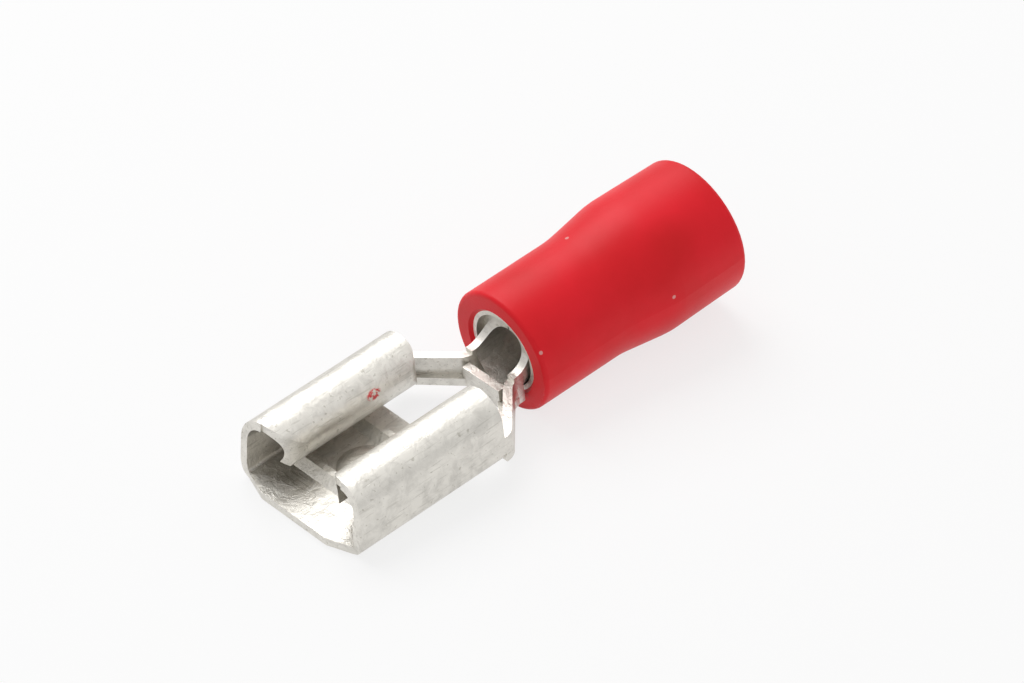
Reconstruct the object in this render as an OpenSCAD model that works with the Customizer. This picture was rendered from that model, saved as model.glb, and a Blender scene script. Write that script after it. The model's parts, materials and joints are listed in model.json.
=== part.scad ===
// Insulated female spade terminal for small wire.
// Three pieces: a folded tinned contact, a crimp support sleeve on its
// wire barrel, and a soft insulation sleeve over both.
// Millimetres. X runs across the tab, Y from the tab mouth to the wire,
// Z up. The part lies at rest on its insulation sleeve and front lip.

/* [Sheet] */
// Thickness of the tinned sheet
sheet = 0.4; // [0.3:0.05:0.5]
// Outer bend radius between the receptacle floor and its walls
corner_r = 0.55; // [0.45:0.05:0.8]

/* [Receptacle] */
// Width over the outer walls
width = 7.6; // [7.2:0.1:8.0]
// Length of the rolled sides
roll_length = 8.0; // [7:0.1:9]
// Outer radius of each rolled side
roll_r = 1.25; // [1.0:0.05:1.4]
// Height of the roll centre above the underside
roll_z = 2.0; // [1.8:0.05:2.3]
// Thickness of the flat tab that the rolls hold down
tab = 0.8; // [0.8:0.01:0.81]
// How far the tip of each roll stands above a tab of that thickness
tab_gap = 0.0; // [0:0.01:0.1]
// How far the front edge of each roll stands back at its top
roll_rake = 0.45; // [0.2:0.05:0.7]
// Radius of the rounded front inner corner of each roll
roll_nose = 1.25; // [0.8:0.05:1.5]
// Radius of the rounded rear inner corner of each roll
roll_tail = 0.7; // [0.3:0.05:1.0]

/* [Front lip] */
// How far the carrier lip stands forward of the walls
lip = 0.45; // [0.2:0.05:0.6]
// Width of the straight part of the lip
lip_width = 4.1; // [3:0.1:5]

/* [Floor forms] */
// Length of the floor, to the front edge of the window
floor_length = 6.5; // [6:0.1:7]
// Height that the two cross ribs stand above the floor
rib_height = 0.3; // [0.1:0.05:0.4]
// Length of each cross rib, from end to end
rib_span = 5.4; // [4:0.1:6]
// Front edge of the first rib
rib_one_y = 1.55; // [1.2:0.05:2]
// Front edge of the second rib
rib_two_y = 4.75; // [4.5:0.05:5.2]
// Width of each rib along the tab
rib_width = 0.75; // [0.5:0.05:1]
// Radius of the round locking dimple
dimple_r = 1.2; // [0.8:0.05:1.3]
// Height of the dimple above the floor
dimple_height = 0.35; // [0.2:0.05:0.45]
// Centre of the dimple from the wall fronts
dimple_y = 3.5; // [3.2:0.05:3.8]

/* [Neck] */
// Angle at which the side rails close in towards the neck
rail_angle = 48; // [35:1:60]
// Height of the rails
rail_height = 1.3; // [1.0:0.05:1.6]
// Radius of the bend from each wall into its rail
rail_bend = 0.9; // [0.6:0.05:1.2]
// Radius of the bend from each rail into the neck
neck_bend = 0.6; // [0.45:0.05:1]
// Width of the floor strip left along each rail
strip = 0.3; // [0.2:0.05:0.6]
// Front face of the upturned tab stop
stop_y = 9.95; // [9.6:0.05:10.2]
// Top of the tab stop above the underside
stop_height = 1.0; // [0.8:0.05:1.3]
// Width of the tab stop
stop_width = 2.3; // [1.8:0.1:2.5]
// Outer radius of the round part of the neck
neck_r = 1.5; // [1.4:0.05:1.65]
// Radius of the hollow curve that rises into the barrel
scoop_r = 1.2; // [0.8:0.05:1.4]

/* [Wire barrel] */
// Outer radius of the wire barrel
barrel_r = 1.7; // [1.5:0.05:1.8]
// Front edge of the barrel's closed part
barrel_y = 11.75; // [11.5:0.05:12]
// Length of the closed part
barrel_length = 5.6; // [4.5:0.1:6.5]
// Width of the butted seam along the top of the barrel
seam = 0.06; // [0.04:0.01:0.15]

/* [Support sleeve] */
// Wall of the support sleeve
support_wall = 0.2; // [0.15:0.05:0.3]
// Front edge of the support sleeve
support_y = 11.35; // [11.3:0.05:11.6]
// Length of the part that fits the barrel
support_grip = 6.4; // [5.5:0.1:7]
// Length of the wider part that fits the wire's insulation
support_bell = 2.2; // [1.5:0.1:3]

/* [Insulation sleeve] */
// Front face of the insulation sleeve
sleeve_y = 11.2; // [11:0.05:11.4]
// Length of the insulation sleeve
sleeve_length = 11.2; // [10:0.1:12]
// Outer radius of the front half
front_r = 2.85; // [2.6:0.01:3]
// Largest outer radius, just behind the shoulder
belly_r = 3.22; // [3:0.01:3.5]
// Outer radius at the rear rim
rim_r = 3.16; // [3:0.01:3.4]
// Start of the shoulder, from the front face
shoulder_start = 4.4; // [3.5:0.1:5.5]
// Slope of the shoulder
shoulder_angle = 8.5; // [5:0.5:15]
// Radius of the two curves that blend the shoulder
shoulder_blend = 5; // [2:0.5:8]
// Radius of the bore that takes the wire's insulation
wire_bore_r = 2.25; // [2:0.05:2.4]
// Length of the inner cone between the two bores
funnel = 0.9; // [0.5:0.1:1.5]
// Rounding of the sleeve's outer edges
edge_r = 0.2; // [0.1:0.05:0.4]
// Lead-in at both mouths of the bore
lead = 0.15; // [0.05:0.05:0.3]

/* [View] */
// Sub-part to show

/* [Hidden] */
$fn = 96;
tin = [0.82, 0.80, 0.76];
copper = [0.80, 0.78, 0.74];
red = [0.85, 0.13, 0.18];
far = 20;
half = width / 2;
roll_x = half - roll_r;
roll_top = roll_z + roll_r;
tip_drop = roll_z - sheet - tab - tab_gap;
tip_angle = asin(tip_drop / roll_r);
// plan path of one rail
bend_sum = rail_bend + neck_bend;
rail_run = (half - neck_r - bend_sum * (1 - cos(rail_angle))) / sin(rail_angle);
rail_x = half - rail_bend * (1 - cos(rail_angle));
rail_y = roll_length + rail_bend * sin(rail_angle);
neck_y = rail_y + rail_run * cos(rail_angle) + neck_bend * sin(rail_angle);
scoop_y = barrel_y - scoop_r;
scoop_z = rail_height + 0.2 + scoop_r;
// support sleeve and bores
support_r = barrel_r + support_wall;
support_end = support_y + support_grip + funnel + support_bell;
sleeve_end = sleeve_y + sleeve_length;
funnel_y = support_y + support_grip;
// outer shoulder of the insulation sleeve
blend_rise = shoulder_blend * (1 - cos(shoulder_angle));
blend_run = shoulder_blend * sin(shoulder_angle);
slope_rise = belly_r - front_r - 2 * blend_rise;
slope_run = slope_rise / tan(shoulder_angle);
shoulder_y = sleeve_y + shoulder_start;
slope_y0 = shoulder_y + blend_run;
slope_y1 = slope_y0 + slope_run;
belly_y = slope_y1 + blend_run;
// rest pose: the front lip and the sleeve's shoulder both touch the ground
rest_a = belly_y + lip;
rest_b = belly_r - shoulder_blend - barrel_r;
rest_tilt = asin(shoulder_blend / sqrt(rest_a * rest_a + rest_b * rest_b)) + atan2(rest_b, rest_a);
rest_lift = lip * sin(rest_tilt);
rest_y0 = -lip * cos(rest_tilt) - sheet * sin(rest_tilt);
rim_drop = rim_r - edge_r - barrel_r;
rest_y1 = (sleeve_end - edge_r) * cos(rest_tilt) + rim_drop * sin(rest_tilt) + edge_r;
rest_mid = (rest_y0 + rest_y1) / 2;

// puts a piece drawn along Y into the rest pose
module at_rest() {
    translate([0, -rest_mid, rest_lift]) rotate([rest_tilt, 0, 0]) children();
}

// extrudes an XZ section from y0 to y1
module along(y0, y1) {
    translate([0, y1, 0]) rotate([90, 0, 0]) linear_extrude(height = y1 - y0) children();
}

// extrudes a YZ outline across the whole part
module across(w) {
    rotate([90, 0, 90]) linear_extrude(height = w, center = true) children();
}

// turns an (r, y) outline about the barrel's axis
module around() {
    translate([0, 0, barrel_r]) rotate([-90, 0, 0]) rotate_extrude() children();
}

// draws on the right and mirrors to the left
module both_sides() {
    children();
    mirror([1, 0, 0]) children();
}

// bent strip of sheet: outer radius r, from angle 0 to a
module bend(r, a) {
    intersection() {
        difference() {
            circle(r);
            circle(r - sheet);
        }
        polygon([[0, 0], [far, 0], [far, far * tan(min(a, 89) / 2)], [far * cos(a), far * sin(a)]]);
    }
}

// section of the receptacle: floor, wall and rolled side
module receptacle_section() {
    both_sides() {
        square([half - corner_r, sheet]);
        translate([half - corner_r, corner_r]) mirror([0, 1]) bend(corner_r, 90);
        translate([half - sheet, corner_r]) square([sheet, roll_z - corner_r]);
        translate([roll_x, roll_z]) roll_section();
    }
}

// rolled side: half a turn over the top, then down to the tip
module roll_section() {
    difference() {
        circle(roll_r);
        circle(roll_r - sheet);
        polygon([[0, 0], [far, 0], [far, -far], [-far * cos(tip_angle), -far],
            [-far * cos(tip_angle), -far * sin(tip_angle)]]);
    }
}

// sheet left in front of the walls: only the lip stays
module front_trim() {
    both_sides() {
        translate([0, 0, -1]) linear_extrude(height = 6)
            polygon([[lip_width / 2, -1], [lip_width / 2, -lip], [half - 0.4, 0], [half + 1, 0], [half + 1, -1]]);
    }
    translate([-far / 2, -1, sheet]) cube([far, 1, 5]);
    across(far) polygon([[-1, 0.9], [0, 0.9], [roll_rake, roll_top + 0.2], [-1, roll_top + 0.2]]);
}

// rounded inner corners of the rolls, in plan
module roll_corners() {
    nose_x = roll_x - roll_r + roll_nose;
    nose_y = roll_rake + roll_nose;
    tail_x = roll_x - roll_r + roll_tail;
    tail_y = roll_length - roll_tail;
    translate([0, 0, sheet + 0.1]) linear_extrude(height = 5) both_sides() difference() {
        union() {
            translate([0, -1]) square([nose_x, nose_y + 1]);
            translate([0, tail_y]) square([tail_x, 3]);
        }
        translate([nose_x, nose_y]) circle(roll_nose);
        translate([tail_x, tail_y]) circle(roll_tail);
    }
}

// raised forms pressed up from the floor
module floor_forms() {
    for (y0 = [rib_one_y, rib_two_y]) rib(y0);
    intersection() {
        translate([0, dimple_y, sheet + dimple_height - 3]) sphere(3);
        translate([0, dimple_y, sheet - 0.1]) cylinder(h = 2, r = dimple_r);
    }
}

// cross rib with round ends: a slope at the front, a sheared drop behind
module rib(y0) {
    intersection() {
        across(rib_span) polygon([[y0, sheet - 0.1], [y0, sheet], [y0 + rib_width * 0.6, sheet + rib_height],
            [y0 + rib_width, sheet + rib_height], [y0 + rib_width, sheet - 0.1]]);
        translate([0, y0, 0]) linear_extrude(height = 3) {
            translate([-rib_span / 2 + rib_width, 0]) square([rib_span - 2 * rib_width, rib_width]);
            both_sides() translate([rib_span / 2 - rib_width, 0]) circle(rib_width);
        }
    }
}

// plan of one rail, from the wall to the neck
module rail_plan() {
    translate([half - rail_bend, roll_length]) bend(rail_bend, rail_angle);
    translate([rail_x, rail_y]) rotate(rail_angle) translate([-sheet, 0]) square([sheet, rail_run]);
    translate([neck_r + neck_bend, neck_y]) mirror([1, 0]) mirror([0, 1]) bend(neck_bend + sheet, rail_angle);
    translate([neck_r - sheet, neck_y]) square([sheet, 0.3]);
}

// outline of the whole sheet behind the rolls, seen from above
module rear_plan() {
    polygon([[0, floor_length - 1], [half, floor_length - 1], [half, roll_length], [rail_x, rail_y],
        [neck_r + 0.1, neck_y - 0.35], [neck_r, neck_y], [neck_r, neck_y + 0.3], [0, neck_y + 0.3]]);
}

// opening between floor and neck
module window_plan() {
    inset = (sheet + strip) / cos(rail_angle);
    stop_x = rail_x - (stop_y - rail_y) * tan(rail_angle) - inset;
    polygon([[0, floor_length], [half - sheet - strip, floor_length],
        [half - sheet - strip, roll_length + 0.2], [stop_x, stop_y], [0, stop_y]]);
}

// side outline kept from the walls back to the barrel
module side_trim() {
    translate([roll_length, rail_height]) square([scoop_y - roll_length, 5]);
    translate([scoop_y, scoop_z]) circle(scoop_r);
    translate([scoop_y - 0.01, scoop_z]) square([scoop_r + 0.01, 5]);
    polygon([[roll_length - 0.15, 5], [roll_length - 0.15, roll_top], [roll_length + 0.1, 2.1],
        [roll_length + 0.45, rail_height], [scoop_y - 1.2, rail_height], [scoop_y, scoop_z - scoop_r],
        [scoop_y, 5]]);
}

module contact() {
    color(tin) at_rest() {
        receptacle();
        barrel();
    }
}

// receptacle, rails and neck
module receptacle() {
    difference() {
        union() {
            along(-lip, roll_length) receptacle_section();
            floor_forms();
        }
        front_trim();
        roll_corners();
        translate([0, 0, -1]) linear_extrude(height = 2) both_sides() window_plan();
    }
    difference() {
        union() {
            linear_extrude(height = roll_top) both_sides() rail_plan();
            linear_extrude(height = sheet) both_sides() rear_strip();
            translate([-stop_width / 2, stop_y, 0]) cube([stop_width, sheet, stop_height]);
        }
        across(far) side_trim();
    }
}

// floor strips along the rails and the floor of the neck
module rear_strip() {
    difference() {
        rear_plan();
        window_plan();
        translate([-1, 0]) square([far, roll_length - 0.01]);
    }
}

// round neck and closed wire barrel
module barrel() {
    difference() {
        union() {
            along(neck_y, barrel_y + sheet) translate([0, neck_r]) difference() {
                circle(neck_r);
                circle(neck_r - sheet);
            }
            along(barrel_y, barrel_y + barrel_length) translate([0, barrel_r]) difference() {
                circle(barrel_r);
                circle(barrel_r - sheet);
            }
        }
        across(far) side_trim();
        translate([-seam / 2, barrel_y - 1, barrel_r]) cube([seam, barrel_length + 2, 5]);
    }
}

module support_sleeve() {
    color(copper) at_rest() around() polygon([
        [barrel_r, support_y], [support_r, support_y], [support_r, funnel_y],
        [wire_bore_r, funnel_y + funnel], [wire_bore_r, support_end],
        [wire_bore_r - support_wall, support_end], [wire_bore_r - support_wall, funnel_y + funnel],
        [barrel_r, funnel_y]]);
}

module insulation_sleeve() {
    color(red) at_rest() around() difference() {
        sleeve_outline();
        sleeve_bore();
    }
}

// outer outline with its shoulder and rounded edges
module sleeve_outline() {
    difference() {
        polygon([[0, sleeve_y], [front_r - edge_r, sleeve_y], [front_r, sleeve_y + edge_r],
            [front_r, shoulder_y], [front_r + blend_rise, slope_y0], [belly_r - blend_rise, slope_y1],
            [belly_r, belly_y], [rim_r, sleeve_end - edge_r], [rim_r - edge_r, sleeve_end], [0, sleeve_end]]);
        translate([front_r + shoulder_blend, shoulder_y]) circle(shoulder_blend);
    }
    translate([front_r - edge_r, sleeve_y + edge_r]) circle(edge_r);
    translate([rim_r - edge_r, sleeve_end - edge_r]) circle(edge_r);
    intersection() {
        translate([belly_r - shoulder_blend, belly_y]) circle(shoulder_blend);
        translate([1, slope_y1]) square([far, belly_y - slope_y1]);
    }
}

// stepped bore: support sleeve, cone, wire insulation
module sleeve_bore() {
    polygon([[-1, sleeve_y - 1], [support_r + lead, sleeve_y - 1], [support_r + lead, sleeve_y],
        [support_r, sleeve_y + lead], [support_r, funnel_y], [wire_bore_r, funnel_y + funnel],
        [wire_bore_r, sleeve_end - lead], [wire_bore_r + lead, sleeve_end],
        [wire_bore_r + lead, sleeve_end + 1], [-1, sleeve_end + 1]]);
}

contact();
support_sleeve();
insulation_sleeve();
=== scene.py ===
import bpy, json, math
from mathutils import Matrix, Vector

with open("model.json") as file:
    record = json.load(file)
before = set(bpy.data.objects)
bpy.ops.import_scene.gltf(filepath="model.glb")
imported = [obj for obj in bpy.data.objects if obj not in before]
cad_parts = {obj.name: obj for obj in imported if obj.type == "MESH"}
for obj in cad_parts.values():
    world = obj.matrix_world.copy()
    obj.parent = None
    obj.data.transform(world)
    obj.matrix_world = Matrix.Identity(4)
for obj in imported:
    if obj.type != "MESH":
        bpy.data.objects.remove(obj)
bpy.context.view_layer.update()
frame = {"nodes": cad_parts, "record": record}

MM = 0.001

# ---------- camera ----------
CAM_AZ, CAM_EL, CAM_ROLL = 49.97, 37.96, -2.39
CAM_TARGET = Vector((0.920, -0.082, 3.767)) * MM
CAM_DIST = 240 * MM
CAM_LENS = 202.9
CAM_SENSOR = 36

# ---------- lights and floor ----------
KEY_PLACE, KEY_WATTS, KEY_SIZE = (-0.20, 0.04, 0.28), 0.62, 0.26
ROOM_LEVEL = 0.55
FLOOR_WHITE = 0.93
FLOOR_SHOWN = 0.75
FLOOR_HALF = 1.5

# ---------- colours ----------
TIN = (0.77, 0.745, 0.69)
TIN_SCRATCH = (0.5, 0.48, 0.43)
TIN_PIT = (0.4, 0.38, 0.32)
# painted shade: the darker colour laid on the floor under the left roll
TIN_PAINTED_SHADE = (0.42, 0.4, 0.34)
TRACE_RED = (0.62, 0.03, 0.04)
VINYL, VINYL_DARK, VINYL_DEEP = (0.88, 0.006, 0.018), (0.76, 0.004, 0.01), (0.7, 0.002, 0.006)
VINYL_SPECK = (0.85, 0.35, 0.33)

# ---------- the terminal's own frame ----------
MOUNTS = {m["name"]: m for m in frame["record"]["mounts"]}
AXIS = Vector(MOUNTS["wire_barrel"]["axis"])
MOUTH = Vector(MOUNTS["tab_receptacle"]["pos_m"])
TILT = math.atan2(AXIS.z, AXIS.y)

# ---------- small marks, in that frame's mm ----------
RED_TRACE = (-1.35, 5.42, 1.54)
# painted shade: centre of the darker streaked patch on the floor under the left roll
SHADED_FLOOR_SPOT = (-1.54, 0.98, -0.4)
DEEP_PATCH = (2.21, 19.06, 3.23)
PALE_SPECKS = ((-0.83, 16.01, 3.65), (2.52, 11.37, 2.23), (3.16, 18.22, 1.27))


class Graph:
    """A material's nodes, made with short calls."""

    def __init__(self, name):
        self.material = bpy.data.materials.new(name)
        self.material.use_nodes = True
        self.tree = self.material.node_tree
        self.shader = self.tree.nodes["Principled BSDF"]

    @classmethod
    def of_tree(cls, tree):
        graph = cls.__new__(cls)
        graph.tree = tree
        return graph

    def put(self, socket, value):
        if isinstance(value, bpy.types.NodeSocket):
            self.tree.links.new(value, socket)
        else:
            socket.default_value = value

    def node(self, kind, inputs=None, **settings):
        made = self.tree.nodes.new(kind)
        for key, value in settings.items():
            setattr(made, key, value)
        for key, value in (inputs or {}).items():
            self.put(made.inputs[key], value)
        return made

    def math(self, operation, a, b=0.0, clamp=False):
        made = self.node("ShaderNodeMath", {0: a, 1: b}, operation=operation, use_clamp=clamp)
        return made.outputs[0]

    def place(self, scale=(1, 1, 1)):
        """The terminal's own mm: X across, Y from the mouth to the wire, Z up from the middle of the mouth."""
        source = self.node("ShaderNodeTexCoord")
        move = self.node("ShaderNodeVectorMath", {0: source.outputs["Object"], 1: MOUTH}, operation="SUBTRACT")
        turn = self.node("ShaderNodeMapping", {0: move.outputs[0], "Rotation": (-TILT, 0, 0),
                                               "Scale": (1 / MM, 1 / MM, 1 / MM)})
        if scale == (1, 1, 1):
            return turn.outputs[0]
        return self.node("ShaderNodeVectorMath", {0: turn.outputs[0], 1: scale}, operation="MULTIPLY").outputs[0]

    def noise(self, size, detail=3.0, roughness=0.5, stretch=(1, 1, 1), distortion=0.0):
        """Noise whose patches are about size mm across."""
        vector = self.place(tuple(s / size for s in stretch))
        made = self.node("ShaderNodeTexNoise", {"Vector": vector, "Scale": 1.0, "Detail": detail,
                                                "Roughness": roughness, "Distortion": distortion})
        return made.outputs["Fac"]

    def ramp(self, value, *stops):
        made = self.node("ShaderNodeValToRGB", {"Fac": value})
        elements = made.color_ramp.elements
        while len(elements) < len(stops):
            elements.new(0.5)
        for element, (position, color) in zip(elements, stops):
            element.position = position
            element.color = (*color, 1) if len(color) == 3 else color
        return made.outputs["Color"]

    def grey(self, value, *stops):
        return self.ramp(value, *((position, (level, level, level)) for position, level in stops))

    def mix(self, factor, a, b, blend="MIX"):
        made = self.node("ShaderNodeMix", data_type="RGBA", blend_type=blend)
        self.put(made.inputs["Factor"], factor)
        self.put(made.inputs["A"], (*a, 1) if isinstance(a, tuple) else a)
        self.put(made.inputs["B"], (*b, 1) if isinstance(b, tuple) else b)
        return made.outputs["Result"]

    def spot(self, centre, size, softness=0.3):
        """1 inside an oval round a point, in the terminal's own mm, falling to 0 at its edge."""
        shift = self.node("ShaderNodeVectorMath", {0: self.place(), 1: centre}, operation="SUBTRACT")
        scale = self.node("ShaderNodeVectorMath", {0: shift.outputs[0], 1: size}, operation="DIVIDE")
        reach = self.node("ShaderNodeVectorMath", {0: scale.outputs[0]}, operation="LENGTH")
        return self.grey(reach.outputs["Value"], (1 - softness, 1), (1, 0))

    def bump(self, height, depth, normal=None):
        """Bump whose full height is depth mm."""
        inputs = {"Height": height, "Distance": depth * MM, "Strength": 1.0}
        if normal is not None:
            inputs["Normal"] = normal
        return self.node("ShaderNodeBump", inputs).outputs["Normal"]


def tin_material(name):
    """Satin tin plate: soft mottling, pits and scratches along the strip. Returns the graph and its colour."""
    g = Graph(name)
    cloudy = g.noise(1.6, 4, 0.6)
    blotch = g.grey(g.noise(0.55, 5, 0.65, distortion=0.6), (0.4, 0), (0.62, 1))
    grain = g.noise(0.07, 4, 0.7)
    scratch = g.grey(g.noise(0.09, 2, 0.5, stretch=(1, 0.07, 1)), (0.6, 0), (0.68, 1))
    dull = tuple(v * (1 - 0.24) for v in TIN)
    pale = tuple(v * 1.05 for v in TIN)
    color = g.mix(g.math("MULTIPLY", blotch, 0.7), TIN, dull)
    color = g.mix(g.grey(cloudy, (0.4, 0), (0.65, 0.8)), color, pale)
    color = g.mix(g.math("MULTIPLY", scratch, 0.45), color, TIN_SCRATCH)
    pit = g.grey(g.noise(0.2, 2, 0.5), (0.66, 0), (0.72, 1))
    color = g.mix(g.math("MULTIPLY", pit, 0.55), color, TIN_PIT)
    rough = g.math("ADD", g.math("MULTIPLY", blotch, 0.1), 0.3)
    rough = g.math("ADD", rough, g.math("MULTIPLY", grain, 0.12))
    g.put(g.shader.inputs["Base Color"], color)
    g.put(g.shader.inputs["Roughness"], rough)
    g.shader.inputs["Metallic"].default_value = 1.0
    normal = g.bump(grain, 0.006)
    normal = g.bump(blotch, 0.012, normal)
    normal = g.bump(scratch, -0.003, normal)
    g.put(g.shader.inputs["Normal"], normal)
    return g, color


def contact_material():
    """Tin plate with the trace of red left on the inner face of one roll, and painted shade: darker streaks on
    the floor under the left roll by the mouth.
    """
    g, color = tin_material("tinned_contact")
    broken = g.grey(g.noise(0.16, 3, 0.6), (0.44, 0), (0.54, 1))
    trace = g.math("MULTIPLY", g.spot(RED_TRACE, (0.2, 0.42, 0.3)), broken)
    color = g.mix(g.math("MULTIPLY", trace, 0.9), color, TRACE_RED)
    # painted shade: darker streaks on the floor under the left roll, where the wall's shade falls
    lines = g.grey(g.noise(0.11, 2, 0.5, stretch=(0.12, 1, 1)), (0.57, 0), (0.62, 1))
    painted_shade = g.math("MULTIPLY", g.spot(SHADED_FLOOR_SPOT, (1.4, 0.9, 0.6), 0.5), lines)
    color = g.mix(g.math("MULTIPLY", painted_shade, 0.6), color, TIN_PAINTED_SHADE)
    g.put(g.shader.inputs["Base Color"], color)
    return g.material


def vinyl_material():
    """Soft satin vinyl, a little uneven, with one deeper patch and a few pale specks."""
    g = Graph("red_vinyl")
    cloud = g.noise(3.5, 3, 0.5)
    fine = g.noise(0.12, 3, 0.6)
    color = g.mix(g.grey(cloud, (0.35, 0), (0.7, 1)), VINYL, VINYL_DARK)
    color = g.mix(g.math("MULTIPLY", g.spot(DEEP_PATCH, (1.3, 1.7, 1.2), 0.8), 0.7), color, VINYL_DEEP)
    for centre in PALE_SPECKS:
        color = g.mix(g.spot(centre, (0.1, 0.1, 0.1)), color, VINYL_SPECK)
    g.shader.inputs["Specular IOR Level"].default_value = 0.3
    g.put(g.shader.inputs["Base Color"], color)
    rough = g.math("ADD", g.math("MULTIPLY", fine, 0.12), 0.38)
    g.put(g.shader.inputs["Roughness"], rough)
    g.put(g.shader.inputs["Normal"], g.bump(fine, 0.006))
    return g.material


MATERIALS = {"contact": contact_material(), "support_sleeve": tin_material("support_metal")[0].material,
             "insulation_sleeve": vinyl_material()}
for node, material in MATERIALS.items():
    slots = frame["nodes"][node].data.materials
    for i in range(len(slots)):
        slots[i] = material


# ---------- stage ----------
def add_camera():
    az, el, roll = (math.radians(v) for v in (CAM_AZ, CAM_EL, CAM_ROLL))
    back = Vector((math.sin(az) * math.cos(el), -math.cos(az) * math.cos(el), math.sin(el)))
    level = Vector((math.cos(az), math.sin(az), 0))
    rise = back.cross(level)
    right = level * math.cos(roll) + rise * math.sin(roll)
    up = rise * math.cos(roll) - level * math.sin(roll)
    data = bpy.data.cameras.new("camera")
    data.lens = CAM_LENS
    data.sensor_width = CAM_SENSOR
    data.clip_start = 0.01
    camera = bpy.data.objects.new("camera", data)
    bpy.context.scene.collection.objects.link(camera)
    camera.matrix_world = Matrix.Translation(CAM_TARGET + back * CAM_DIST) @ Matrix(
        (right, up, back)).transposed().to_4x4()
    bpy.context.scene.camera = camera


def add_floor():
    half = FLOOR_HALF
    mesh = bpy.data.meshes.new("floor")
    corners = [(-half, -half, 0), (half, -half, 0), (half, half, 0), (-half, half, 0)]
    mesh.from_pydata(corners, [], [(0, 1, 2, 3)])
    floor = bpy.data.objects.new("floor", mesh)
    bpy.context.scene.collection.objects.link(floor)
    g = Graph("floor")
    g.shader.inputs["Base Color"].default_value = (FLOOR_WHITE, FLOOR_WHITE, FLOOR_WHITE, 1)
    g.shader.inputs["Roughness"].default_value = 0.6
    rays = g.node("ShaderNodeLightPath")
    shown = g.math("MAXIMUM", rays.outputs["Is Camera Ray"], rays.outputs["Is Glossy Ray"])
    white = g.node("ShaderNodeEmission", {"Color": (1, 1, 1, 1), "Strength": 1.0})
    share = g.node("ShaderNodeMixShader", {0: g.math("MULTIPLY", shown, FLOOR_SHOWN), 1: g.shader.outputs[0],
                                           2: white.outputs[0]})
    g.put(g.tree.nodes["Material Output"].inputs["Surface"], share.outputs[0])
    mesh.materials.append(g.material)


def add_light(name, place, energy, size):
    data = bpy.data.lights.new(name, "AREA")
    data.energy = energy
    data.size = size
    light = bpy.data.objects.new(name, data)
    bpy.context.scene.collection.objects.link(light)
    light.location = place
    light.rotation_euler = (-Vector(place)).to_track_quat("-Z", "Y").to_euler()


def add_world():
    """An even white room: it lights at half strength, and metal sees it darken towards the horizon."""
    world = bpy.data.worlds.new("world")
    bpy.context.scene.world = world
    world.use_nodes = True
    g = Graph.of_tree(world.node_tree)
    rays = g.node("ShaderNodeLightPath")
    height = g.node("ShaderNodeSeparateXYZ", {0: g.node("ShaderNodeTexCoord").outputs["Generated"]}).outputs["Z"]
    seen = g.grey(height, (0.0, 0.45), (0.35, 0.8), (0.75, 1.0))
    level = g.mix(rays.outputs["Is Glossy Ray"], (ROOM_LEVEL, ROOM_LEVEL, ROOM_LEVEL), seen)
    level = g.mix(rays.outputs["Is Camera Ray"], level, (1.0, 1.0, 1.0))
    g.put(g.tree.nodes["Background"].inputs["Color"], level)


add_camera()
add_floor()
add_world()
add_light("key", KEY_PLACE, KEY_WATTS, KEY_SIZE)
bpy.context.scene.view_settings.view_transform = "Standard"
